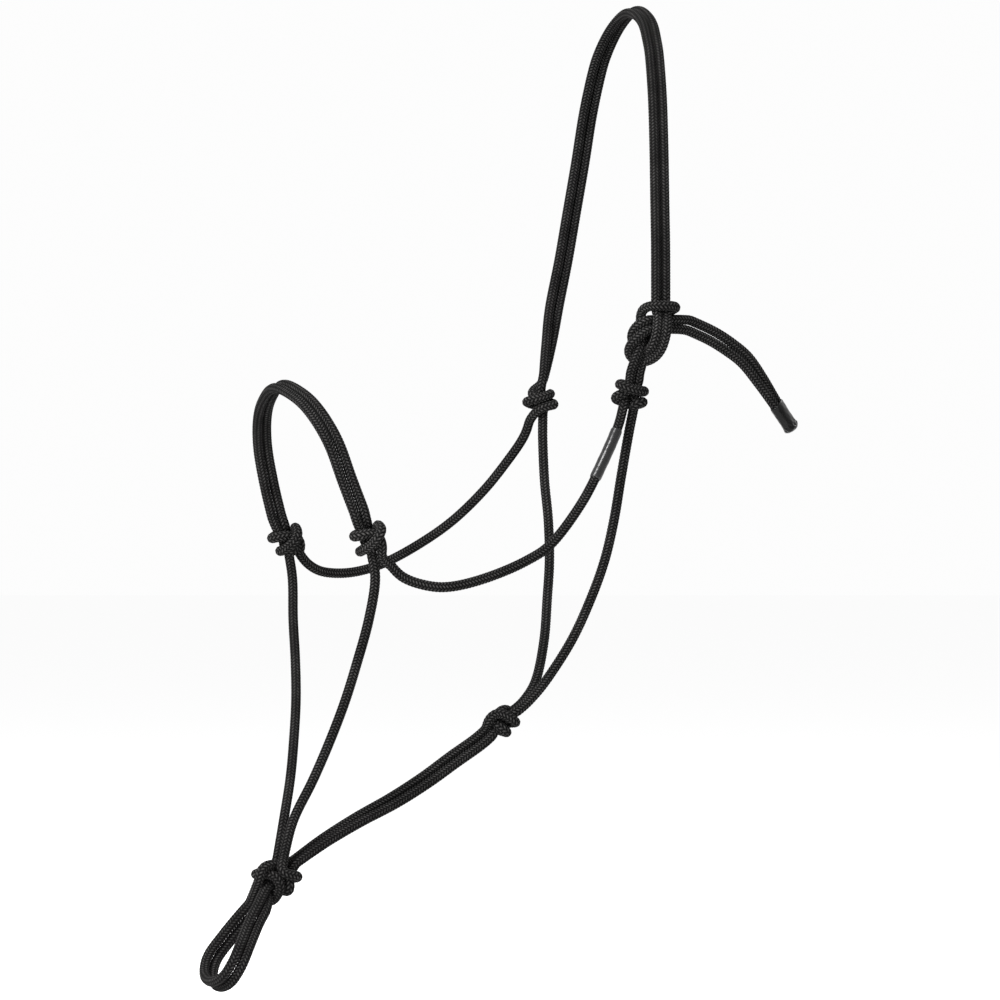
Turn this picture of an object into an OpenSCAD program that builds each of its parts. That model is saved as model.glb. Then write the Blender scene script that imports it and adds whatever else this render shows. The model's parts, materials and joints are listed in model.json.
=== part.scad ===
// Rope halter, in the shape it takes on a horse's head: a crown over the poll, two cheek knots,
// a noseband between two nose knots, a throat knot, a fiador knot and a doubled lead loop.
// +X runs from the nose to the neck, +Y to the off (right) side of the horse, +Z up.
// The origin is the poll seat, where the head's top meets the underside of the crown.

/* [Rope] */
// Diameter of the braided rope
rope_d = 6.4; // [5:0.1:6.6]
// Distance between the centres of two strands that lie side by side
pair_pitch = 6.9; // [6.8:0.1:7.4]
// Flat sides round a strand
rope_sides = 8; // [8:2:12]
// Greatest distance between two rings of a strand
ring_gap = 16; // [8:1:20]

/* [Knots] */
// Radius of a cheek, nose or throat knot, at its middle turn
knot_r = 12; // [10:0.5:12.5]
// Distance between the turns of a cheek, nose or throat knot
knot_turn_gap = 7; // [5:0.5:7.5]
// How much smaller the radius of a knot's first and last turn is
knot_taper = 1.5; // [0:0.5:3]
// Radius of the four-strand fiador knot under the chin
fiador_r = 17; // [15:0.5:17.5]
// Distance between the turns of the fiador knot
fiador_turn_gap = 9; // [6:0.5:9.5]
// Radius of the sheet bend that closes the crown
bend_r = 15; // [12:0.5:15.5]
// Distance between the turns of the sheet bend
bend_turn_gap = 7.5; // [6:0.5:8.5]

/* [Fittings] */
// Outer diameter of the label sleeve
sleeve_d = 7.8; // [7.4:0.1:8.5]
// Bore of the label sleeve
sleeve_bore = 6.8; // [6.7:0.05:7.2]
// Length of the moulded cap on the tail
cap_length = 21; // [14:1:24]
// Thickness of the moulded cap
cap_thick = 8; // [8:0.5:10]
// Width of the moulded cap, over both strands
cap_width = 14; // [13.5:0.5:16]
// How far the strands reach into the cap
cap_lap = 6; // [4:0.5:10]

/* [Hidden] */

rope_r = rope_d / 2;
rope_black = [0.11, 0.11, 0.11];
knot_black = [0.16, 0.15, 0.15];
cap_black = [0.05, 0.05, 0.05];
sleeve_grey = [0.22, 0.22, 0.23];

// Middles of the knots. A near knot is the far one seen in the plane Y = 0.
far_cheek = [-36, 71, -257];
far_nose = [-222, 69, -352];
throat = [-96, 0, -472];
fiador = [-259, 0, -571];
bend = [-25, -78, -216];

// Routes. A fourth number is the twist of a doubled strand, in degrees.
crown_near_end = [[-20, -80, -204, 0]];
crown_leg = [
    [-20, 80, -192, 0], [-16.5, 73, -161, 0], [-13.5, 66, -128, 0], [-10.5, 59, -95, 0],
    [-8, 52, -62, 0], [-5.5, 43, -34, 0], [-4, 36, -21, -2], [-2, 26, -9, -6],
    [-1, 13, -1, -12],
];
crown_top = [-1, 0, 2, -16];
crown_far_end = [[-25, 78, -217, -30], [-32, 72, -241, -65]];

noseband_leg = [
    [-229, 70, -337, 0], [-236, 66, -316, 0], [-243, 60, -292, 0], [-249, 46, -273, 0],
    [-253, 27, -261, 0],
];
noseband_top = [-256, 0, -254, 0];
noseband_across = [0.94, 0, 0.34];

near_cheek_route = [
    [-42, -70, -265], [-47, -71, -280], [-60, -75, -303], [-79, -84, -329], [-103, -90, -355],
    [-122, -90, -367], [-147, -89, -377], [-170, -86, -383], [-186, -82, -383], [-202, -75, -377],
    [-213, -71, -364],
];
far_cheek_route = [
    [-42, 70, -265], [-47, 71, -281], [-58, 76, -299], [-73, 82, -319], [-93, 88, -339],
    [-117, 90, -355], [-145, 86, -368], [-170, 80, -374], [-192, 75, -374], [-205, 72, -369],
    [-214, 70, -360],
];
far_throat_route = [
    [-34, 69, -266], [-36, 65, -284], [-38, 58, -312], [-39, 50, -339], [-42, 42, -366],
    [-48, 33, -392], [-56, 21, -419], [-68, 8, -445], [-79, 4, -459], [-89, 4, -467],
];
far_chin_route = [
    [-221, 69, -360], [-218, 69, -379], [-220, 63, -405], [-223, 52, -431], [-227, 41, -457],
    [-233, 30, -483], [-240, 19, -508], [-249, 8, -534], [-255, 5, -560],
];
jaw_route = [
    [-101, 0, -475, 45], [-113, 0, -485, 45], [-132, 0, -497, 45], [-152, 0, -510, 50],
    [-175, 0, -523, 55], [-200, 0, -535, 65], [-224, 0, -548, 75], [-246, 0, -562, 85],
];
lead_loop_leg = [
    [-270, 7, -589, 0], [-277, 11, -598, 0], [-285, 17, -610, 0], [-293, 22, -623, 0],
    [-298, 16, -634, 0],
];
lead_loop_end = [-300, 0, -638, 0];
lead_loop_across = [0.857, 0, -0.515];

eye_route = [
    [-37, -73, -241], [-36, -75, -229], [-33, -77, -217], [-29, -78, -211], [-25, -78, -217],
    [-27, -76, -229], [-29, -73, -241],
];
tail_route = [
    [0, -79, -212, 0], [18, -79, -219, 0], [32, -80, -227, -5], [43, -80, -235, -10],
    [54, -80, -248, -25], [63, -80, -260, -40], [69, -80, -268, -45],
];

// The sleeve covers these ring numbers of the near cheek strand.
sleeve_from = 1;
sleeve_to = 4;

function unit(v) = v / norm(v);
function xyz(p) = [p[0], p[1], p[2]];
function reversed(list) = [for (i = [len(list) - 1 : -1 : 0]) list[i]];
function near_point(p) = [for (i = [0 : len(p) - 1]) i == 1 ? -p[i] : p[i]];
function near_route(list) = [for (p = list) near_point(p)];
// A far leg, its top and the same leg on the near side, from near to far.
function arch(leg, top) = concat(near_route(leg), [top], reversed(leg));

// Catmull-Rom curve between points i and i + 1 of a route, at t from 0 to 1.
function curve_point(p, i, t) =
    let (last = len(p) - 1,
         b = p[i],
         c = p[i + 1],
         a = i > 0 ? p[i - 1] : 2 * b - c,
         d = i + 2 <= last ? p[i + 2] : 2 * c - b)
    0.5 * (2 * b + (c - a) * t + (2 * a - 5 * b + 4 * c - d) * t * t
           + (3 * b - a - 3 * c + d) * t * t * t);
function steps(a, b) = max(1, ceil(norm(xyz(b) - xyz(a)) / ring_gap));
function smooth(p) = concat(
    [for (i = [0 : len(p) - 2]) for (s = [0 : steps(p[i], p[i + 1]) - 1])
        curve_point(p, i, s / steps(p[i], p[i + 1]))],
    [p[len(p) - 1]]);

// Unit direction of a line at each of its points.
function directions(line) = [
    for (i = [0 : len(line) - 1])
        unit(xyz(line[min(i + 1, len(line) - 1)]) - xyz(line[max(i - 1, 0)]))
];
// A vector turned as little as possible so that it stays square to a direction.
function square_to(v, dir) = unit(v - (v * dir) * dir);
function any_square(dir) = square_to(abs(dir.z) < 0.8 ? [0, 0, 1] : [0, 1, 0], dir);
function carried(dirs) = [
    for (i = 0, v = any_square(dirs[0]); i < len(dirs);
         i = i + 1, v = i < len(dirs) ? square_to(v, dirs[i]) : v) v
];

// The way from one strand of a pair to the other at point i: across, turned by the pair's twist.
function pair_way(line, dirs, across, i) =
    let (e = square_to(across, dirs[i]), f = cross(dirs[i], e), twist = line[i][3])
    e * cos(twist) + f * sin(twist);
// One strand of a pair: the pair's line moved half a pitch, to side 1 or -1.
function strand_of(line, across, side) =
    let (dirs = directions(line))
    [for (i = [0 : len(line) - 1])
        xyz(line[i]) + side * pair_pitch / 2 * pair_way(line, dirs, across, i)];

function ring_points(line, r) =
    let (dirs = directions(line), ups = carried(dirs))
    [for (i = [0 : len(line) - 1]) for (k = [0 : rope_sides - 1])
        let (a = 360 * (k + 0.5) / rope_sides, side = cross(dirs[i], ups[i]))
        xyz(line[i]) + r * (ups[i] * cos(a) + side * sin(a))];
function wall_faces(rings, first, flip) = [
    for (i = [0 : rings - 2]) for (k = [0 : rope_sides - 1])
        let (n = (k + 1) % rope_sides,
             a = first + i * rope_sides + k,
             b = first + i * rope_sides + n,
             c = b + rope_sides,
             d = a + rope_sides)
        for (face = flip ? [[a, c, b], [a, d, c]] : [[a, b, c], [a, c, d]]) face
];
function fan(first, flip) = [
    for (k = [1 : rope_sides - 2])
        flip ? [first, first + k, first + k + 1] : [first, first + k + 1, first + k]
];

// A solid strand along a line of points.
module strand(line, r = rope_r) {
    rings = len(line);
    polyhedron(points = ring_points(line, r),
               faces = concat(wall_faces(rings, 0, true), fan(0, true),
                              fan((rings - 1) * rope_sides, false)));
}

// A hollow sleeve along a line of points.
module hollow(line, outer_r, inner_r) {
    rings = len(line);
    inner = rings * rope_sides;
    last = (rings - 1) * rope_sides;
    ends = [for (k = [0 : rope_sides - 1])
        let (n = (k + 1) % rope_sides)
        for (face = [[k, n, inner + n], [k, inner + n, inner + k],
                     [last + k, inner + last + n, last + n],
                     [last + k, inner + last + k, inner + last + n]]) face];
    polyhedron(points = concat(ring_points(line, outer_r), ring_points(line, inner_r)),
               faces = concat(wall_faces(rings, 0, true), wall_faces(rings, inner, false), ends));
}

module along(axis) {
    rotate(a = acos(axis.z / norm(axis)), v = cross([0, 0, 1], axis)) children();
}

// A knot as the turns of rope that are seen round its core, stacked along an axis.
module knot(centre, axis, radius, turns, gap) {
    half = gap * (turns - 1) / 2;
    core_r = radius - knot_taper - rope_r;
    color(knot_black) translate(centre) along(axis) rotate_extrude($fn = 48) {
        translate([0, -half - rope_r / 2]) square([core_r, 2 * half + rope_r]);
        for (i = [0 : turns - 1]) {
            turn_r = i == 0 || i == turns - 1 ? core_r : core_r + knot_taper;
            translate([turn_r, i * gap - half]) circle(rope_r, $fn = 32);
        }
    }
}

crown_line = smooth(concat(crown_near_end, arch(crown_leg, crown_top), crown_far_end));
module crown_front_strand() { color(rope_black) strand(strand_of(crown_line, [1, 0, 0], -1)); }
module crown_rear_strand() { color(rope_black) strand(strand_of(crown_line, [1, 0, 0], 1)); }
module sheet_bend() { knot(bend, [0.25, 0, 1], bend_r, 5, bend_turn_gap); }
module eye_loop() { color(rope_black) strand(smooth(eye_route)); }

tail_line = smooth(tail_route);
module tail_upper_strand() { color(rope_black) strand(strand_of(tail_line, [0, 0, 1], 1)); }
module tail_lower_strand() { color(rope_black) strand(strand_of(tail_line, [0, 0, 1], -1)); }
// The cap starts cap_lap before the end of the strands that it holds.
module tail_cap() {
    last = len(tail_line) - 1;
    dirs = directions(tail_line);
    end_r = cap_thick / 2;
    way = pair_way(tail_line, dirs, [0, 0, 1], last) * (cap_width - cap_thick) / 2;
    color(cap_black) hull() {
        for (side = [-1, 1], at = [end_r, cap_length - end_r])
            translate(xyz(tail_line[last]) + dirs[last] * (at - cap_lap) + side * way)
                sphere(end_r, $fn = 20);
    }
}

module near_cheek_knot() { knot(near_point(far_cheek), [0.2, 0, 1], knot_r, 3, knot_turn_gap); }
module far_cheek_knot() { knot(far_cheek, [0.1, 0, 1], knot_r, 3, knot_turn_gap); }
module near_nose_knot() { knot(near_point(far_nose), [-0.3, 0, 1], knot_r, 3, knot_turn_gap); }
module far_nose_knot() { knot(far_nose, [-0.3, 0, 1], knot_r, 3, knot_turn_gap); }
module throat_knot() { knot(throat, [1, 0, 0.9], knot_r, 3, knot_turn_gap); }
module fiador_knot() { knot(fiador, [0.45, 0, 1], fiador_r, 3, fiador_turn_gap); }

near_cheek_line = smooth(near_cheek_route);
module near_cheek_strand() { color(rope_black) strand(near_cheek_line); }
module far_cheek_strand() { color(rope_black) strand(smooth(far_cheek_route)); }
module label_sleeve() {
    covered = [for (i = [sleeve_from : sleeve_to]) near_cheek_line[i]];
    color(sleeve_grey) hollow(covered, sleeve_d / 2, sleeve_bore / 2);
}

far_throat_line = smooth(far_throat_route);
module near_throat_strand() { color(rope_black) strand(near_route(far_throat_line)); }
module far_throat_strand() { color(rope_black) strand(far_throat_line); }
far_chin_line = smooth(far_chin_route);
module near_chin_strand() { color(rope_black) strand(near_route(far_chin_line)); }
module far_chin_strand() { color(rope_black) strand(far_chin_line); }

jaw_line = smooth(jaw_route);
module jaw_upper_strand() { color(rope_black) strand(strand_of(jaw_line, [0, 0, 1], 1)); }
module jaw_lower_strand() { color(rope_black) strand(strand_of(jaw_line, [0, 0, 1], -1)); }

noseband_line = smooth(arch(noseband_leg, noseband_top));
module noseband_front_strand() {
    color(rope_black) strand(strand_of(noseband_line, noseband_across, -1));
}
module noseband_rear_strand() {
    color(rope_black) strand(strand_of(noseband_line, noseband_across, 1));
}

lead_loop_line = smooth(arch(lead_loop_leg, lead_loop_end));
module lead_loop_front_bight() {
    color(rope_black) strand(strand_of(lead_loop_line, lead_loop_across, -1));
}
module lead_loop_rear_bight() {
    color(rope_black) strand(strand_of(lead_loop_line, lead_loop_across, 1));
}

crown_front_strand();
crown_rear_strand();
sheet_bend();
eye_loop();
tail_upper_strand();
tail_lower_strand();
tail_cap();
near_cheek_knot();
far_cheek_knot();
near_cheek_strand();
far_cheek_strand();
label_sleeve();
near_throat_strand();
far_throat_strand();
throat_knot();
jaw_upper_strand();
jaw_lower_strand();
fiador_knot();
near_chin_strand();
far_chin_strand();
near_nose_knot();
far_nose_knot();
noseband_front_strand();
noseband_rear_strand();
lead_loop_front_bight();
lead_loop_rear_bight();
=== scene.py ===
"""The looks of a rope halter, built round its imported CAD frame.

One braided rope is drawn from the tail through every knot and strand and back to the tail.
Its stretches between the knots follow the CAD strands' own routes. The knots are drawn as the
turns that the rope takes in them, and a short relaxation keeps those turns off each other.
The long rope is then cut into one piece for each CAD node.
"""

import json
import math

import bpy
import numpy as np
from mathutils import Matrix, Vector


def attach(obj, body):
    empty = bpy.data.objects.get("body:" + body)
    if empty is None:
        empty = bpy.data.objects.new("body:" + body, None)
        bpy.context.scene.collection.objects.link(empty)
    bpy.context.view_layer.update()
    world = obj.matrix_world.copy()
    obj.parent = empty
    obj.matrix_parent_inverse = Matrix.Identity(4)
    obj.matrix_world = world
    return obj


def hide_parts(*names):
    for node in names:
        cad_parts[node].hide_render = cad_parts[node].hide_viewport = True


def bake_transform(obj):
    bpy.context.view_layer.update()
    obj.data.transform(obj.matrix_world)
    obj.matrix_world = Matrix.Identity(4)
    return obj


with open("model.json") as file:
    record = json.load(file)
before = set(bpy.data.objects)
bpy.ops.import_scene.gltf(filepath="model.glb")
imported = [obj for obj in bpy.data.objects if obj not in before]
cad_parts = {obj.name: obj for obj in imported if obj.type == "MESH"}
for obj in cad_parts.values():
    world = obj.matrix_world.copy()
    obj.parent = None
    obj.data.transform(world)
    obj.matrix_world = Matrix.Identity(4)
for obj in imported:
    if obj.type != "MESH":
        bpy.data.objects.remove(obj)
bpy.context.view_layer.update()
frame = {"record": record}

MM = 0.001

# ---------------------------------------------------------------- camera
AZIMUTH = math.radians(-25)
ELEVATION = math.radians(-1)
DISTANCE = 3.0
TARGET = Vector((-0.0808, 0.0377, -0.3256))
LENS = 161.2


def make_camera():
    back = Vector((
        math.sin(AZIMUTH) * math.cos(ELEVATION),
        -math.cos(AZIMUTH) * math.cos(ELEVATION),
        math.sin(ELEVATION),
    ))
    data = bpy.data.cameras.new("camera")
    data.lens = LENS
    data.sensor_width = 36
    data.clip_end = 100
    camera = bpy.data.objects.new("camera", data)
    camera.location = TARGET + back * DISTANCE
    camera.rotation_euler = (-back).to_track_quat("-Z", "Y").to_euler()
    bpy.context.scene.collection.objects.link(camera)
    bpy.context.scene.camera = camera


make_camera()

# ---------------------------------------------------------------- routes, as in part.scad, in mm
PAIR_PITCH = 6.9
FAR_CHEEK = (-36, 71, -257)
FAR_NOSE = (-222, 69, -352)
THROAT = (-96, 0, -472)
FIADOR = (-259, 0, -571)
BEND = (-25, -78, -216)

CROWN_NEAR_END = [(-20, -80, -204, 0)]
CROWN_LEG = [
    (-20, 80, -192, 0), (-16.5, 73, -161, 0), (-13.5, 66, -128, 0), (-10.5, 59, -95, 0),
    (-8, 52, -62, 0), (-5.5, 43, -34, 0), (-4, 36, -21, -2), (-2, 26, -9, -6),
    (-1, 13, -1, -12),
]
CROWN_TOP = (-1, 0, 2, -16)
CROWN_FAR_END = [(-25, 78, -217, -30), (-32, 72, -241, -65)]
NOSEBAND_LEG = [
    (-229, 70, -337, 0), (-236, 66, -316, 0), (-243, 60, -292, 0), (-249, 46, -273, 0),
    (-253, 27, -261, 0),
]
NOSEBAND_TOP = (-256, 0, -254, 0)
NOSEBAND_ACROSS = (0.94, 0, 0.34)
NEAR_CHEEK_ROUTE = [
    (-42, -70, -265), (-47, -71, -280), (-60, -75, -303), (-79, -84, -329), (-103, -90, -355),
    (-122, -90, -367), (-147, -89, -377), (-170, -86, -383), (-186, -82, -383),
    (-202, -75, -377), (-213, -71, -364),
]
FAR_CHEEK_ROUTE = [
    (-42, 70, -265), (-47, 71, -281), (-58, 76, -299), (-73, 82, -319), (-93, 88, -339),
    (-117, 90, -355), (-145, 86, -368), (-170, 80, -374), (-192, 75, -374), (-205, 72, -369),
    (-214, 70, -360),
]
FAR_THROAT_ROUTE = [
    (-34, 69, -266), (-36, 65, -284), (-38, 58, -312), (-39, 50, -339), (-42, 42, -366),
    (-48, 33, -392), (-56, 21, -419), (-68, 8, -445), (-79, 4, -459), (-89, 4, -467),
]
FAR_CHIN_ROUTE = [
    (-221, 69, -360), (-218, 69, -379), (-220, 63, -405), (-223, 52, -431), (-227, 41, -457),
    (-233, 30, -483), (-240, 19, -508), (-249, 8, -534), (-255, 5, -560),
]
JAW_ROUTE = [
    (-101, 0, -475, 45), (-113, 0, -485, 45), (-132, 0, -497, 45), (-152, 0, -510, 50),
    (-175, 0, -523, 55), (-200, 0, -535, 65), (-224, 0, -548, 75), (-246, 0, -562, 85),
]
LEAD_LOOP_LEG = [
    (-270, 7, -589, 0), (-277, 11, -598, 0), (-285, 17, -610, 0), (-293, 22, -623, 0),
    (-298, 16, -634, 0),
]
LEAD_LOOP_END = (-300, 0, -638, 0)
LEAD_LOOP_ACROSS = (0.857, 0, -0.515)
TAIL_ROUTE = [
    (0, -79, -212, 0), (18, -79, -219, 0), (32, -80, -227, -5), (43, -80, -235, -10),
    (54, -80, -248, -25), (63, -80, -260, -40), (69, -80, -268, -45),
]


def near_point(p):
    return tuple(-v if i == 1 else v for i, v in enumerate(p))


def arch(leg, top):
    return [near_point(p) for p in leg] + [top] + leg[::-1]


def unit(v):
    return v / np.linalg.norm(v, axis=-1, keepdims=True)


def smooth(points, parts=16):
    """The Catmull-Rom curve through points, with that many parts between two of them."""
    p = np.array(points, float)
    p = np.vstack([2 * p[0] - p[1], p, 2 * p[-1] - p[-2]])
    t = (np.arange(parts) / parts)[:, None]
    out = []
    for a, b, c, d in zip(p, p[1:], p[2:], p[3:]):
        out.append(0.5 * (2 * b + (c - a) * t + (2 * a - 5 * b + 4 * c - d) * t ** 2
                          + (3 * b - a - 3 * c + d) * t ** 3))
    out.append(p[-2:-1])
    return np.vstack(out)


def resample(line, step):
    """Points along a line at even steps of about that length."""
    at = np.concatenate([[0], np.cumsum(np.linalg.norm(np.diff(line[:, :3], axis=0), axis=1))])
    new = np.linspace(0, at[-1], max(2, round(at[-1] / step) + 1))
    return np.stack([np.interp(new, at, line[:, k]) for k in range(line.shape[1])], 1)


STRAND_STEP = 1.0       # mm between the points of a strand's middle line


def single(route):
    return resample(smooth(route), STRAND_STEP)


def doubled(route, across, side):
    """One strand of a pair: the pair's line moved half a pitch to side 1 or -1."""
    line = resample(smooth(route), STRAND_STEP)
    way = unit(np.gradient(line[:, :3], axis=0))
    across = np.array(across, float)
    e = unit(across - (way @ across)[:, None] * way)
    f = np.cross(way, e)
    twist = np.radians(line[:, 3:4])
    return line[:, :3] + side * PAIR_PITCH / 2 * (e * np.cos(twist) + f * np.sin(twist))


crown_route = CROWN_NEAR_END + arch(CROWN_LEG, CROWN_TOP) + CROWN_FAR_END
noseband_route = arch(NOSEBAND_LEG, NOSEBAND_TOP)
lead_loop_route = arch(LEAD_LOOP_LEG, LEAD_LOOP_END)

strands = {
    "crown_front_strand": doubled(crown_route, (1, 0, 0), -1),
    "crown_rear_strand": doubled(crown_route, (1, 0, 0), 1),
    "noseband_front_strand": doubled(noseband_route, NOSEBAND_ACROSS, -1),
    "noseband_rear_strand": doubled(noseband_route, NOSEBAND_ACROSS, 1),
    "near_cheek_strand": single(NEAR_CHEEK_ROUTE),
    "far_cheek_strand": single(FAR_CHEEK_ROUTE),
    "near_throat_strand": single([near_point(p) for p in FAR_THROAT_ROUTE]),
    "far_throat_strand": single(FAR_THROAT_ROUTE),
    "near_chin_strand": single([near_point(p) for p in FAR_CHIN_ROUTE]),
    "far_chin_strand": single(FAR_CHIN_ROUTE),
    "jaw_upper_strand": doubled(JAW_ROUTE, (0, 0, 1), 1),
    "jaw_lower_strand": doubled(JAW_ROUTE, (0, 0, 1), -1),
    "lead_loop_front_bight": doubled(lead_loop_route, LEAD_LOOP_ACROSS, -1),
    "lead_loop_rear_bight": doubled(lead_loop_route, LEAD_LOOP_ACROSS, 1),
    "tail_upper_strand": doubled(TAIL_ROUTE, (0, 0, 1), 1),
    "tail_lower_strand": doubled(TAIL_ROUTE, (0, 0, 1), -1),
}

# ---------------------------------------------------------------- knots
# Turns of the rope round a knot's middle, in mm: to the right, up and towards the near-left
# front of the halter, from which every knot is drawn.
RIGHT = np.array((math.cos(AZIMUTH), math.sin(AZIMUTH), 0))
FRONT = np.array((math.sin(AZIMUTH), -math.cos(AZIMUTH), 0))
UP = np.array((0, 0, 1.0))

NOSE_FIRST = [
    (-7.6, 8.5, 2.6), (-5, 3, 0.5), (-1, -3, -0.5), (2.5, -6.5, -3.5), (5.2, -4, -5.5),
    (4.8, 0, -8), (0, 3, -9), (-6.5, 2.5, -6.5), (-9.3, 1.3, -0.5), (-7, 1.5, 4.5),
    (-3.5, 1.9, 7), (0.5, 3, 7), (4, 3.2, 4.5),
]
NOSE_FIRST_FAR_END = [(6, 0, 1)]
NOSE_FIRST_NEAR_END = [(5, 1, 3), (4.6, -4, 3), (4.8, -9, 1.5), (7.4, -14, -1)]
NOSE_SECOND = [
    (-2, 10.5, 1), (-0.5, 4, 0), (0, -3, -2), (3, -7.5, -4.5), (0, -6, -8), (-5, -7, -4),
    (-5.8, -8, 0), (-2, -7.7, 5.5), (3, -4.5, 8.5), (6.8, 0, 8.5), (8, 5, 6),
    (5.5, 9, 2.5), (3, 8.6, -1.5), (1.5, 4, -4),
]
CHEEK_NEAR_FIRST = [
    (-1, 9, 1.5), (-2.5, 3, 0.5), (-6, -2, 2.5), (-11, -3, -0.5), (-7.5, -3.5, -5.5),
    (0, -4.5, -8), (6, -6, -5), (7.8, -6.2, 0), (5, -5.5, 5), (1.5, -6.5, 4.5),
]
CHEEK_NEAR_SECOND = [
    (5, 9, 0), (3, 3, -1), (0, -3, -2), (-5, -6, -5), (0, -1, -9), (6, 1, -6),
    (7.2, 1.6, 0), (5, 1.2, 5.5), (0, 1, 8), (-5, 2.2, 7), (-9, 4.6, 3), (-8.4, 6.3, -1.5),
    (-4, 6.5, -4.5), (-2, 1, -4), (-4, -4, -1),
]
CHEEK_FAR_FIRST = [
    (1.5, 10, 2), (0, 4, 1.5), (0, -2, -1), (-1, -5, -5), (-5, -2, -6.5), (-7.9, 0, -0.5),
    (-5.5, 0.5, 5), (0, 1.2, 8), (5.5, 3, 6.5), (9.2, 5, 2), (7.5, 5.5, -3),
    (3.5, 2, -5.5), (2.5, -4, -3),
]
CHEEK_FAR_SECOND = [
    (2.6, 10.5, -6.5), (-1.5, 8.8, -6.5), (-5.3, 6.5, -3), (-5.5, 3.2, 1.5), (-2, 0, 1),
    (3, -3, -1), (8, -1, -5), (11.4, -2, 0), (6, -3.8, 6.5), (1, -5, 7), (-3, -8, 5.5),
    (-5.5, -11.5, 4.5),
]

THROAT_FIRST = [
    (4, 2.5, 0), (-1, 0, -1), (-5, -2.5, -3), (-3.5, -3, -7.5), (2, -2, -8.5),
    (7.5, -1.5, -5), (9.4, -1, 0), (6.2, 1.4, 5.5), (1.8, 4.2, 6.8), (-2.8, 6.6, 6.3),
    (-7.0, 4.6, 5.2), (-7.9, 0.5, 4.3), (-9, -2.8, 2.5),
]
THROAT_SECOND = [
    (2.5, 7.5, -5.5), (-0.3, 7.9, -1.5), (-4, 4.5, 1), (-8.2, -1.8, 1), (-4, -3.4, 5),
    (1.3, -5.6, 5.5), (3.8, -8.9, 1.5), (1.5, -7.5, -4.5), (-4, -3.5, -6.5), (-8.5, -3.5, -4),
]

# Each pass: the strand and end that it comes from, its turns, and the strand and end it goes to.
START, END = 0, -1
KNOTS = {
    "sheet_bend": (BEND, [
        ("crown_front_strand", START, [
            (3, 6, 4.5), (3.1, -2, 7.5), (2.4, -8.5, 7.5), (0.5, -13, 4.5), (-3, -15, -1),
            (-8, -12.5, -6), (-13, -8.5, -4), (-14.4, -4.5, 0.5), (-11.5, 1.5, 4), (-6, 5.5, 5),
            (-1, 7.2, 2.5), (6, 7, -1), (14, 7, -4),
        ], "tail_upper_strand", START),
        ("crown_rear_strand", START, [
            (9.3, 6, 4), (9.4, 1, 7), (8.4, -4, 7), (6.3, -9.5, 6), (3.5, -15, 4),
            (-1, -20, 0.5), (-7, -21.5, -3.5), (-11.5, -20.5, -4.5), (-15, -18, -2.5),
            (-16.8, -13.5, 0), (-13.5, -8, 4.5), (-8, -2.5, 6), (-2.5, 1, 3.5), (4, 1, -1.5),
            (12, 1, -4),
        ], "tail_lower_strand", START),
    ]),
    "far_cheek_knot": (FAR_CHEEK, [
        ("crown_front_strand", END, CHEEK_FAR_FIRST, "far_throat_strand", START),
        ("crown_rear_strand", END, CHEEK_FAR_SECOND, "far_cheek_strand", START),
    ]),
    "throat_knot": (THROAT, [
        ("far_throat_strand", END, THROAT_SECOND, "jaw_lower_strand", START),
        ("near_throat_strand", END, THROAT_FIRST, "jaw_upper_strand", START),
    ]),
    "fiador_knot": (FIADOR, [
        ("jaw_lower_strand", END, [
            (11.5, 4, -3), (10.5, 0, -1.5), (11, -4, 2.5), (10.8, -8, 3), (9, -10.3, -1),
            (4, -9, -5), (-2, -4.5, -2.5), (-4.8, -5, 1.5), (-7, -9, 6),
        ], "lead_loop_front_bight", START),
        ("jaw_upper_strand", END, [
            (7, 9, -4), (3, 8.6, 1), (-1.5, 9.2, 4), (-6, 8, 6), (-8.5, 4.5, 7),
            (-8.9, 0, 7), (-10, -5, 5), (-13, -10, 2),
        ], "lead_loop_front_bight", END),
        ("far_chin_strand", END, [
            (1.8, 7, -5), (-1.5, 4.2, -7), (-5, 3, -8), (-11, 2.5, -5), (-14.6, 1.6, -1.5),
            (-12.5, 1.5, 1.5), (-6.5, 3.6, 3.5), (-2, 3.6, 5.5), (2.8, 1, 6), (5, -4, 6),
            (5, -8.5, 2.5), (0, -10.5, -2), (-5, -13, -4),
        ], "lead_loop_rear_bight", END),
        ("near_chin_strand", END, [
            (3.7, 7.5, 4.5), (3.8, 3.9, 7), (8, 2.1, 7.2), (12.5, 2, 5.5), (15, 1, 0),
            (12, -0.5, -6), (7, 0, -9.5), (2, 3.5, -11), (-4, 1, -10), (-8.2, -2.2, -7.5),
            (-3.8, -7, -7.5), (-0.4, -9.6, -6), (-2.5, -12.2, 0.5),
        ], "lead_loop_rear_bight", START),
    ]),
    "near_cheek_knot": (near_point(FAR_CHEEK), [
        ("eye_loop", START, CHEEK_NEAR_FIRST, "near_throat_strand", START),
        ("eye_loop", END, CHEEK_NEAR_SECOND, "near_cheek_strand", START),
    ]),
    "near_nose_knot": (near_point(FAR_NOSE), [
        ("noseband_front_strand", START, NOSE_FIRST + NOSE_FIRST_NEAR_END,
         "near_cheek_strand", END),
        ("noseband_rear_strand", START, NOSE_SECOND, "near_chin_strand", START),
    ]),
    "far_nose_knot": (FAR_NOSE, [
        ("noseband_front_strand", END, NOSE_FIRST + NOSE_FIRST_FAR_END,
         "far_chin_strand", START),
        ("noseband_rear_strand", END, NOSE_SECOND, "far_cheek_strand", END),
    ]),
}
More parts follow.
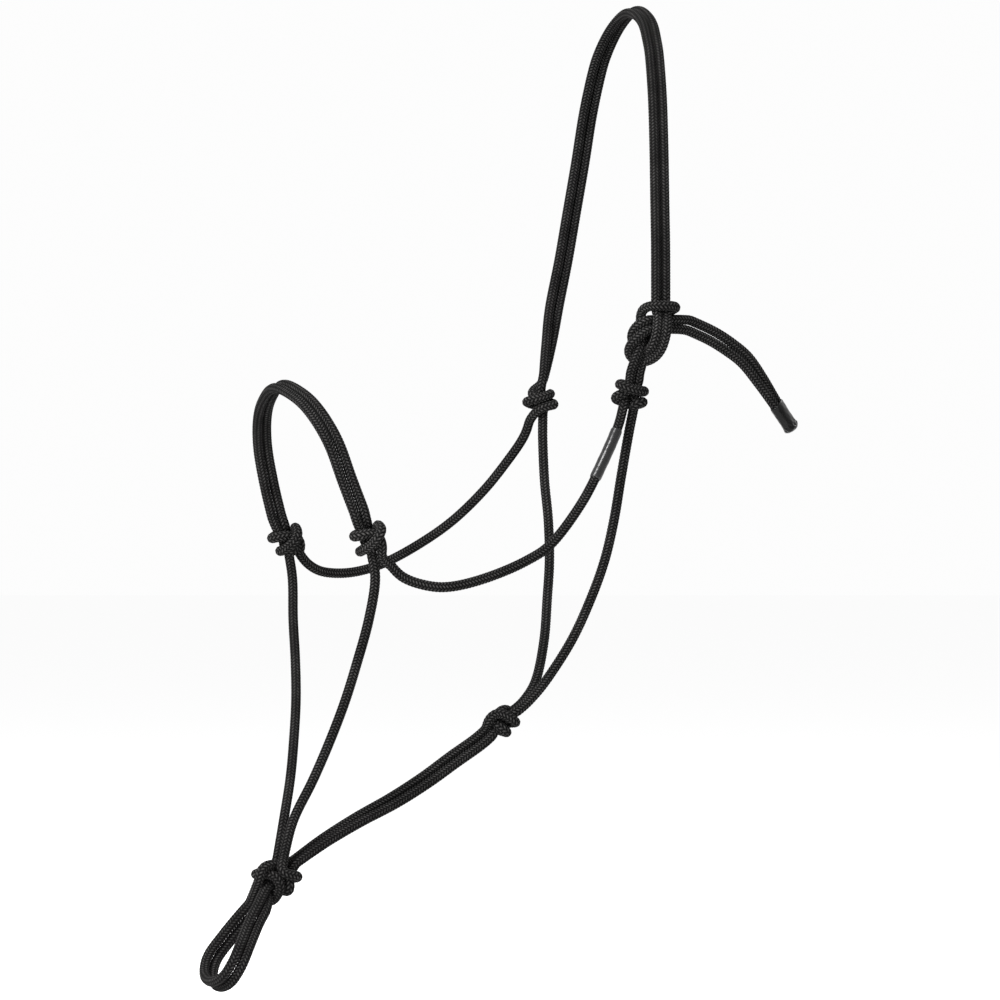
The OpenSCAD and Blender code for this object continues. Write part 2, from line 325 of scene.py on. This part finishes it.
# The eye is drawn round the sheet bend's middle, from the near cheek knot and back to it.
EYE_TURNS = [
    (-14.8, -30, 0), (-13, -24, 1), (-9.5, -15, 2), (-7, -8, 1), (-7, 0, -1), (-7.8, 8, -0.5),
    (-6, 13.3, 2), (-1, 15.3, 5.5), (5.5, 15.4, 7.5), (12, 15.4, 4.5), (15.4, 14.5, -1),
    (11, 12, -6.5), (4, 5, -8), (0, -4, -5), (-3.6, -13, -1), (-6.5, -21, -1.5), (-8.8, -30, -2),
]
# The order in which the one rope runs: a knot with the number of its pass, or a strand. A minus
# sign means that it is run from its end to its start.
ROUND = """
-tail_upper_strand -sheet_bend:0 crown_front_strand far_cheek_knot:0 far_throat_strand
throat_knot:0 jaw_lower_strand fiador_knot:0 lead_loop_front_bight -fiador_knot:1
-jaw_upper_strand -throat_knot:1 -near_throat_strand -near_cheek_knot:0 eye_loop
near_cheek_knot:1 near_cheek_strand -near_nose_knot:0 noseband_front_strand far_nose_knot:0
far_chin_strand fiador_knot:2 -lead_loop_rear_bight -fiador_knot:3 -near_chin_strand
-near_nose_knot:1 noseband_rear_strand far_nose_knot:1 -far_cheek_strand -far_cheek_knot:1
-crown_rear_strand sheet_bend:1 tail_lower_strand
""".split()


def drawn(centre, points):
    """Points drawn round a knot's middle, in the row frame, in mm."""
    u, v, w = np.array(points, float).T[:, :, None]
    return np.array(centre, float) + u * RIGHT + v * UP + w * FRONT


strands["eye_loop"] = resample(smooth(drawn(BEND, EYE_TURNS)), STRAND_STEP)
# Steps of a strand that a knot's turns take over, where they reach further than its CAD solid.
REACH_AT_START = {"jaw_upper_strand": 6, "jaw_lower_strand": 6, "far_cheek_strand": 6}
REACH_AT_END = {"near_cheek_strand": 7}
for name, reach in REACH_AT_START.items():
    strands[name] = strands[name][reach:]
for name, reach in REACH_AT_END.items():
    strands[name] = strands[name][:-reach]

BEAD_GAP = 1.6          # mm between the beads that a knot's rope is relaxed as
TOUCHING = 6.1          # mm between the middles of two turns that press on each other
OWN_REACH = 1.7         # a bead isn't pushed by its own rope within this many times TOUCHING
HELD = 8                # beads of each strand that a knot's rope is held to
JOIN = 3                # of those beads, the ones that are joined to the turns by a curve
ROUNDS = 160            # rounds of relaxing
EVEN_OUT = 0.14         # part of a bend that one round takes away
STAY = 0.028            # part of the way back to where it was drawn that a bead goes in a round
PUSH = 0.3              # part of an overlap that one push takes away from each turn


def relax(lines):
    """Moves beaded lines off each other and evens out their bends, near where they were drawn.
    The first and last beads of each line are held."""
    start = np.vstack(lines)
    x = start.copy()
    rope = np.repeat(np.arange(len(lines)), [len(l) for l in lines])
    index = np.concatenate([np.arange(len(l)) for l in lines])
    free = np.concatenate([(np.arange(len(l)) >= HELD) & (np.arange(len(l)) < len(l) - HELD)
                           for l in lines])
    near = int(OWN_REACH * TOUCHING / BEAD_GAP)
    apart = (rope[:, None] != rope[None]) | (abs(index[:, None] - index[None]) > near)
    inner = np.flatnonzero(free)
    for _ in range(ROUNDS):
        bend = x[inner - 1] + x[inner + 1] - 2 * x[inner]
        x[inner] += EVEN_OUT * bend + STAY * (start[inner] - x[inner])
        for _ in range(2):
            gap = x[:, None] - x[None]
            far = np.linalg.norm(gap, axis=2) + 1e-6
            push = np.where(apart & (far < TOUCHING), (TOUCHING - far) / far, 0)
            x[inner] += PUSH * (push[:, :, None] * gap).sum(1)[inner]
    return np.split(x, np.cumsum([len(l) for l in lines])[:-1])


def end_beads(strand, end):
    """The last beads of a strand at one of its ends, running towards that end."""
    line = resample(strands[strand], BEAD_GAP)
    return line[HELD::-1] if end == START else line[-HELD - 1:]


def tie(centre, passes):
    """The relaxed rope of each pass of a knot, from strand end to strand end."""
    lines = []
    for strand_a, end_a, turns, strand_b, end_b in passes:
        coming, going = end_beads(strand_a, end_a), end_beads(strand_b, end_b)[::-1]
        middle = np.vstack([coming[-JOIN:], drawn(centre, turns), going[:JOIN]])
        curve = resample(smooth(middle), BEAD_GAP)
        lines.append(np.vstack([coming[:-JOIN], curve, going[JOIN:]]))
    return [line[HELD:-HELD] for line in relax(lines)]


knots = {name: tie(*knot) for name, knot in KNOTS.items()}

# ---------------------------------------------------------------- the braid
ROPE_R = 3.32           # mm to the top of the yarns
CARRIERS = 8            # yarns each way round
PICK = 2.15             # mm along the rope from one yarn to the next
YARN_LIFT = 0.16        # mm that a yarn rises over and dips under the others
YARN_CROWN = 0.5        # mm, half the thickness of a yarn with a round back
YARN_ROUND = 1.9        # 2 rounds a yarn's back right down to its edges
RING_STEP = 0.5         # mm along the rope from ring to ring
SIDES = 40              # of each ring
SOFTENING = 24          # rounds that soften the whole rope's middle line
TONES_SEED = 7          # of each yarn's own tone
TONE_LOW, TONE_SPAN = 0.85, 0.3
END_CREST = 0.3         # how light a cut end's middle is, on the rope's scale from painted shade to painted glint


def run_round():
    """The whole rope's middle line in mm, and the piece that each point belongs to."""
    points, owner = [], []
    for entry in ROUND:
        name = entry.lstrip("-")
        if ":" in name:
            name, number = name.split(":")
            line = knots[name][int(number)]
        else:
            line = strands[name]
        line = line[::-1] if entry.startswith("-") else line
        points.append(line if not points else line[1:])
        owner += [name] * len(points[-1])
    return np.vstack(points), owner


def transported(way):
    """A direction square to the line at each point, carried along without twist."""
    side = np.zeros_like(way)
    side[0] = unit(np.cross(way[0], (0.3, 0.5, 0.8)))
    for i in range(1, len(way)):
        v = side[i - 1] - (side[i - 1] @ way[i]) * way[i]
        side[i] = v / math.sqrt(v @ v)
    return side


def braid(theta, along):
    """Radius of the braid's surface in mm, with each point's height on its yarn, its place
    across that yarn and the yarn's own number."""
    a = CARRIERS * theta / (2 * math.pi) + along / PICK
    b = CARRIERS * theta / (2 * math.pi) - along / PICK
    ia, ib = np.floor(a), np.floor(b)
    fa, fb = a - ia - 0.5, b - ib - 0.5
    rise_a = YARN_LIFT * np.sin(math.pi / 2 * (ia + b))
    rise_b = -YARN_LIFT * np.sin(math.pi / 2 * (a + ib))
    height_a = rise_a - YARN_CROWN * (1 - np.sqrt(1 - (YARN_ROUND * fa) ** 2))
    height_b = rise_b - YARN_CROWN * (1 - np.sqrt(1 - (YARN_ROUND * fb) ** 2))
    top = height_a > height_b
    height = np.where(top, height_a, height_b)
    # A point's crest runs from 0 between the yarns to 1 on a yarn's top; the rope material places
    # its painted shade and painted glints by it.
    crest = np.clip(1 + (height - YARN_LIFT) / (YARN_LIFT + YARN_CROWN), 0, 1)
    across = np.where(top, fa, fb)
    number = np.where(top, ia % CARRIERS, CARRIERS + ib % CARRIERS)
    return ROPE_R - YARN_LIFT + height, crest, across, number


def tube_faces(rings, sides):
    """The quads round a tube, then the triangles that close its ends onto two last points."""
    k = np.arange(sides)
    j = (k + 1) % sides
    i = np.arange(rings - 1)[:, None] * sides
    quads = np.stack([i + k, i + j, i + sides + j, i + sides + k], -1).reshape(-1, 4)
    last = (rings - 1) * sides
    low = np.stack([np.full(sides, rings * sides), j, k], 1)
    high = np.stack([np.full(sides, rings * sides + 1), last + k, last + j], 1)
    return quads, np.vstack([low, high])


def tube_mesh(name, runs):
    """One mesh with a braided tube for each run of rings: middles, two square directions and
    the length along the rope."""
    theta = np.arange(SIDES) / SIDES * 2 * math.pi
    draws = np.random.default_rng(TONES_SEED).random(2 * CARRIERS)
    tones = TONE_LOW + TONE_SPAN * draws
    verts, faces, crests, acrosses, shades = [], [], [], [], []
    first = 0
    for middle, e, f, along in runs:
        radius, crest, across, number = braid(theta[None], along[:, None])
        spoke = np.cos(theta)[None, :, None] * e[:, None] + np.sin(theta)[None, :, None] * f[:, None]
        ring = middle[:, None] + radius[:, :, None] * spoke
        verts += [ring.reshape(-1, 3), middle[[0, -1]]]
        crests += [crest.ravel(), (END_CREST, END_CREST)]
        acrosses += [across.ravel(), (0, 0)]
        shades += [tones[number.astype(int)].ravel(), (1, 1)]
        quads, ends = tube_faces(len(middle), SIDES)
        faces += [(quads + first, 4), (ends + first, 3)]
        first += len(middle) * SIDES + 2
    return make_mesh(name, np.vstack(verts), faces, {
        "crest": np.concatenate(crests), "across": np.concatenate(acrosses),
        "shade": np.concatenate(shades)})


def make_mesh(name, verts, faces, attributes):
    """A smooth mesh object in metres from points in mm and blocks of faces of one size each."""
    mesh = bpy.data.meshes.new(name)
    mesh.vertices.add(len(verts))
    mesh.vertices.foreach_set("co", (verts * MM).astype(np.float32).ravel())
    loops = np.concatenate([block.ravel() for block, _ in faces])
    sizes = np.concatenate([np.full(len(block), size) for block, size in faces])
    starts = np.concatenate([[0], np.cumsum(sizes)[:-1]])
    mesh.loops.add(len(loops))
    mesh.loops.foreach_set("vertex_index", loops.astype(np.int32))
    mesh.polygons.add(len(sizes))
    mesh.polygons.foreach_set("loop_start", starts.astype(np.int32))
    mesh.polygons.foreach_set("use_smooth", np.ones(len(sizes), bool))
    mesh.update(calc_edges=True)
    mesh.validate()
    for key, values in attributes.items():
        mesh.attributes.new(key, "FLOAT", "POINT").data.foreach_set(
            "value", np.asarray(values, np.float32))
    obj = bpy.data.objects.new(name, mesh)
    bpy.context.scene.collection.objects.link(obj)
    return obj


def rope_runs():
    """Every piece's runs of rings, cut from the one long rope."""
    points, owner = run_round()
    parts = 3
    dense = smooth(points, parts)
    marks = np.append(np.repeat(np.arange(len(points) - 1), parts), len(points) - 1)
    at = np.concatenate([[0], np.cumsum(np.linalg.norm(np.diff(dense, axis=0), axis=1))])
    along = np.linspace(0, at[-1], round(at[-1] / RING_STEP) + 1)
    middle = np.stack([np.interp(along, at, dense[:, k]) for k in range(3)], 1)
    for _ in range(SOFTENING):
        middle[1:-1] = (middle[:-2] + 2 * middle[1:-1] + middle[2:]) / 4
    way = unit(np.gradient(middle, axis=0))
    e = transported(way)
    f = np.cross(way, e)
    names = [owner[marks[i]] for i in np.searchsorted(at, along).clip(0, len(marks) - 1)]
    runs, first = {}, 0
    for i in range(1, len(names) + 1):
        if i == len(names) or names[i] != names[first]:
            part = slice(first, min(i + 1, len(names)))
            runs.setdefault(names[first], []).append(
                (middle[part], e[part], f[part], along[part]))
            first = i
    return runs


runs = rope_runs()
ropes = {name: tube_mesh(name + "_rope", parts) for name, parts in runs.items()}

# ---------------------------------------------------------------- materials
# The rope's black, which also serves as painted shade between the yarns, and the painted glint
# colour on the yarns' backs; the material mixes them by the yarns' height.
ROPE_BLACK_WITH_PAINTED_SHADE = (0.001, 0.001, 0.0011, 1)
ROPE_PAINTED_GLINT = (0.041, 0.0398, 0.039, 1)


def new_material(name):
    material = bpy.data.materials.new(name)
    material.use_nodes = True
    tree = material.node_tree
    shader = next(n for n in tree.nodes if n.type == "BSDF_PRINCIPLED")
    return material, tree, shader


def node(tree, kind, values=None, links=None, **settings):
    made = tree.nodes.new(kind)
    for key, value in settings.items():
        setattr(made, key, value)
    for key, value in (values or {}).items():
        made.inputs[key].default_value = value
    for key, socket in (links or {}).items():
        tree.links.new(socket, made.inputs[key])
    return made


def attribute(tree, name):
    return node(tree, "ShaderNodeAttribute", attribute_name=name).outputs["Fac"]


def rope_material(name, glint_lift):
    """Black braided rope: dark between the yarns as painted shade, lighter on their backs as painted
    glints, with a faint sheen.
    """
    material, tree, shader = new_material(name)
    shader.inputs["Specular IOR Level"].default_value = 0.0
    shader.inputs["Sheen Weight"].default_value = 0.012
    shader.inputs["Sheen Roughness"].default_value = 0.4
    place = node(tree, "ShaderNodeTexCoord").outputs["Object"]
    fuzz = node(tree, "ShaderNodeTexNoise", {"Scale": 900, "Detail": 3}, {"Vector": place})
    patch = node(tree, "ShaderNodeTexNoise", {"Scale": 45, "Detail": 2}, {"Vector": place})
    # The yarns' height to the 8.5th power: painted glints on the yarns' backs, painted shade in the
    # dips between them.
    crest = node(tree, "ShaderNodeMath", {1: 8.5}, {0: attribute(tree, "crest")},
                 operation="POWER").outputs[0]
    worn = node(tree, "ShaderNodeMapRange", {"From Min": 0.35, "From Max": 0.65, "To Min": 0.8,
                                             "To Max": 1.2}, {"Value": patch.outputs["Fac"]})
    toned = node(tree, "ShaderNodeMath", links={0: attribute(tree, "shade"),
                                                1: worn.outputs["Result"]},
                 operation="MULTIPLY").outputs[0]
    painted_glint_amount = node(tree, "ShaderNodeMath", links={0: crest, 1: toned},
                  operation="MULTIPLY").outputs[0]
    light = tuple(c * glint_lift for c in ROPE_PAINTED_GLINT[:3]) + (1,)
    colour = node(tree, "ShaderNodeMix", {6: ROPE_BLACK_WITH_PAINTED_SHADE, 7: light}, {0: painted_glint_amount},
                  data_type="RGBA")
    tree.links.new(colour.outputs[2], shader.inputs["Base Color"])
    rough = node(tree, "ShaderNodeMapRange", {"To Min": 0.62, "To Max": 0.42},
                 {"Value": fuzz.outputs["Fac"]})
    tree.links.new(rough.outputs["Result"], shader.inputs["Roughness"])
    phase = node(tree, "ShaderNodeMath", {1: 31.4}, {0: attribute(tree, "across")},
                 operation="MULTIPLY").outputs[0]
    wave = node(tree, "ShaderNodeMath", links={0: phase}, operation="SINE").outputs[0]
    ridges = node(tree, "ShaderNodeMath", links={0: fuzz.outputs["Fac"], 1: wave, 2: wave},
                  operation="MULTIPLY_ADD")
    bump = node(tree, "ShaderNodeBump", {"Strength": 0.35, "Distance": 0.00008},
                {"Height": ridges.outputs[0]})
    tree.links.new(bump.outputs["Normal"], shader.inputs["Normal"])
    return material


def smooth_material(name, base, streak, roughness, gloss):
    """A plastic with faint streaks, scuffs and a slightly uneven gloss."""
    material, tree, shader = new_material(name)
    shader.inputs["Specular IOR Level"].default_value = gloss
    place = node(tree, "ShaderNodeTexCoord").outputs["Object"]
    cloud = node(tree, "ShaderNodeTexNoise", {"Scale": 160, "Detail": 4}, {"Vector": place})
    scuff = node(tree, "ShaderNodeTexNoise", {"Scale": 700, "Detail": 3}, {"Vector": place})
    colour = node(tree, "ShaderNodeMix", {6: base, 7: streak}, {0: cloud.outputs["Fac"]},
                  data_type="RGBA")
    tree.links.new(colour.outputs[2], shader.inputs["Base Color"])
    rough = node(tree, "ShaderNodeMapRange", {"To Min": roughness * 0.75,
                                              "To Max": roughness * 1.25},
                 {"Value": cloud.outputs["Fac"]})
    tree.links.new(rough.outputs["Result"], shader.inputs["Roughness"])
    bump = node(tree, "ShaderNodeBump", {"Strength": 0.15, "Distance": 0.0001},
                {"Height": scuff.outputs["Fac"]})
    tree.links.new(bump.outputs["Normal"], shader.inputs["Normal"])
    return material


rope_look = rope_material("braided_rope", 1.0)
# The knotted rope is the same rope with its painted glints made 1.15 times lighter.
knot_look = rope_material("knotted_rope", 1.15)
cap_look = smooth_material("dipped_cap", (0.0012, 0.0012, 0.0012, 1), (0.003, 0.003, 0.003, 1),
                           0.16, 0.1)
sleeve_look = smooth_material("shrink_sleeve", (0.002, 0.002, 0.0021, 1),
                              (0.009, 0.009, 0.0093, 1), 0.27, 0.3)

# ---------------------------------------------------------------- pieces on their bodies
body_of = {n: b for b, ns in frame["record"]["behaviour"]["bodies"].items() for n in ns}
# How a strand would bend at a hinge: the two bodies, and the points in mm between which it would
# turn. No bend is made: a strand listed here only has its transform baked and is put on no body.
CROWN_BEND = ("crown", "halter", (-28.5, 0, -222), (-32, 0, -240))
EYE_BEND = ("crown", "halter", (-32, 0, -229), (-35.5, 0, -244))
NOSEBAND_BEND = ("halter", "noseband", (-229, 0, -337), (-236, 0, -316))
LEAD_LOOP_BEND = ("halter", "lead_loop", (-270, 0, -589), (-280, 0, -603))
TAIL_BEND = ("crown", "tail", (1, 0, -212), (19, 0, -220))
BENDING = {
    "crown_front_strand": CROWN_BEND, "crown_rear_strand": CROWN_BEND,
    "eye_loop": EYE_BEND,
    "noseband_front_strand": NOSEBAND_BEND, "noseband_rear_strand": NOSEBAND_BEND,
    "lead_loop_front_bight": LEAD_LOOP_BEND, "lead_loop_rear_bight": LEAD_LOOP_BEND,
    "tail_upper_strand": TAIL_BEND, "tail_lower_strand": TAIL_BEND,
}

for name, rope in ropes.items():
    is_knot = name in KNOTS
    rope.data.materials.append(knot_look if is_knot else rope_look)
    if name in BENDING:
        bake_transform(rope)
    else:
        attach(rope, body_of[name])
    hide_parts(name)


def ring_angles(sides):
    return (np.arange(sides) + 0.5) / sides * 2 * math.pi


def lofted(name, middle, e, f, width, height, power, sides, relief=0):
    """A closed form lofted along a line, with a superellipse of its own size at each point.
    The relief is mm added to the radius of each point of each ring."""
    theta = ring_angles(sides)
    round_e, round_f = np.cos(theta), np.sin(theta)
    c, s = np.cos(theta), np.sin(theta)
    c = np.sign(c) * abs(c) ** (2 / power)
    s = np.sign(s) * abs(s) ** (2 / power)
    ring = (middle[:, None] + (width[:, None] / 2 * c + relief * round_e)[:, :, None] * e[:, None]
            + (height[:, None] / 2 * s + relief * round_f)[:, :, None] * f[:, None])
    quads, ends = tube_faces(len(middle), sides)
    verts = np.vstack([ring.reshape(-1, 3), middle[[0, -1]]])
    return make_mesh(name, verts, [(quads, 4), (ends, 3)], {})


CAP_LAP = 6             # mm of the strands' ends that the cap covers
CAP_LENGTH = 21.5       # mm
CAP_WIDTH = 15.0        # mm over both strands
CAP_THICK = 8.6         # mm
CAP_SKEW = -0.14        # mm that the tip reaches further for each mm across it
CAP_SIDES = 96
CAP_POWER = 2.5         # of its superellipse: 2 is round and more is squarer


def make_cap():
    """A cap dipped or shrunk over both tail ends: squarish, creased and drawn in at its tip."""
    upper, lower = strands["tail_upper_strand"], strands["tail_lower_strand"]
    tip = (upper[-1] + lower[-1]) / 2
    way = unit(tip - (upper[-6] + lower[-6]) / 2)
    e = unit(lower[-1] - upper[-1])
    e = unit(e - (e @ way) * way)
    f = np.cross(way, e)
    t = np.linspace(0, 1, 81)
    along = (t * CAP_LENGTH - CAP_LAP)[:, None]
    mouth = 1 - 0.04 * np.exp(-(t / 0.03) ** 2)
    nose = np.clip((1 - t) / 0.17, 0, 1)
    round_off = (1 - (1 - nose) ** 2.7) ** (1 / 2.7)
    swell = 1 + 0.02 * np.sin(t * 9) + 0.012 * np.exp(-((t - 0.04) / 0.03) ** 2)
    width = CAP_WIDTH * mouth * swell * (0.12 + 0.88 * round_off)
    height = CAP_THICK * mouth * swell * (0.1 + 0.9 * round_off)
    theta, row = ring_angles(CAP_SIDES)[None], t[:, None]
    creases = (np.sin(5 * theta + 9 * row) + np.sin(8 * theta - 14 * row + 1)
               + np.sin(3 * theta + 31 * row + 2) + np.sin(11 * theta + 23 * row))
    depth = 0.03 + 0.16 * np.exp(-((t - 0.84) / 0.12) ** 2)
    skewed = e[None] + CAP_SKEW * (np.clip((t - 0.5) / 0.5, 0, 1) ** 1.5)[:, None] * way
    return lofted("dipped_tail_cap", tip + along * way, skewed, np.repeat(f[None], len(t), 0),
                  width, height, CAP_POWER, CAP_SIDES, depth[:, None] * creases)


cap = make_cap()
cap.data.materials.append(cap_look)
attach(cap, "tail")
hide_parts("tail_cap")

SLEEVE_FROM = 17        # steps along the near cheek strand
SLEEVE_TO = 57
SLEEVE_D = 7.6          # mm
SLEEVE_SIDES = 40


def make_sleeve():
    """A heat-shrunk sleeve: it follows the rope, with a soft lip and faint waves."""
    line = strands["near_cheek_strand"]
    part = smooth(line[SLEEVE_FROM:SLEEVE_TO], 2)
    way = unit(np.gradient(part, axis=0))
    e = transported(way)
    t = np.linspace(0, 1, len(part))
    lip = 1 - 0.13 * (np.exp(-(t / 0.02) ** 2) + np.exp(-((1 - t) / 0.02) ** 2))
    waves = 1 + 0.012 * np.sin(t * 23) + 0.008 * np.sin(t * 61 + 1)
    size = SLEEVE_D * lip * waves
    return lofted("label_sleeve_tube", part, e, np.cross(way, e), size, size, 2.0, SLEEVE_SIDES)


sleeve = make_sleeve()
sleeve.data.materials.append(sleeve_look)
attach(sleeve, "halter")
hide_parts("label_sleeve")

# ---------------------------------------------------------------- the free ends' lengths and paths, not used further
# Lengths in metres, from beside the sheet bend to the strand's end inside the cap. The upper
# strand runs round the outside of the tail's bend.
TAIL_LENGTHS = {"tail_upper_strand": 0.096, "tail_lower_strand": 0.090}

for name, length in TAIL_LENGTHS.items():
    path = runs[name][0][0] * MM
    if path[0][0] > path[-1][0]:
        path = path[::-1]

# ---------------------------------------------------------------- studio
FLOOR_Z = -0.76         # m, below the lowest pose
FLOOR_REACH = 200.0     # m from the middle to each side


def make_stage():
    corners = np.array([(-1, -1, 0), (1, -1, 0), (1, 1, 0), (-1, 1, 0)]) * FLOOR_REACH
    corners[:, 2] = FLOOR_Z
    floor = make_mesh("floor", corners / MM, [(np.array([[0, 1, 2, 3]]), 4)], {})
    material, tree, shader = new_material("pale_floor")
    shader.inputs["Base Color"].default_value = (0.985, 0.985, 0.985, 1)
    shader.inputs["Roughness"].default_value = 0.9
    shader.inputs["Specular IOR Level"].default_value = 0.0
    floor.data.materials.append(material)


def make_light(name, place, size, energy):
    data = bpy.data.lights.new(name, "AREA")
    data.size = size
    data.energy = energy
    light = bpy.data.objects.new(name, data)
    light.location = place
    light.rotation_euler = (Vector(place) - Vector(TARGET)).to_track_quat("Z", "Y").to_euler()
    bpy.context.scene.collection.objects.link(light)


def make_world():
    world = bpy.data.worlds.new("studio")
    world.use_nodes = True
    background = world.node_tree.nodes["Background"]
    background.inputs["Color"].default_value = (1, 1, 1, 1)
    background.inputs["Strength"].default_value = 0.98
    bpy.context.scene.world = world
    bpy.context.scene.view_settings.view_transform = "Standard"


make_stage()
make_world()
make_light("key", (-2.45, -1.0, 0.9), 1.2, 130)
make_light("top", (-1.1, -0.7, 1.85), 0.8, 80)
make_light("front", (-1.0, -2.5, 0.1), 0.3, 6)
make_light("rim", (1.4, 0.9, 1.2), 1.0, 12)
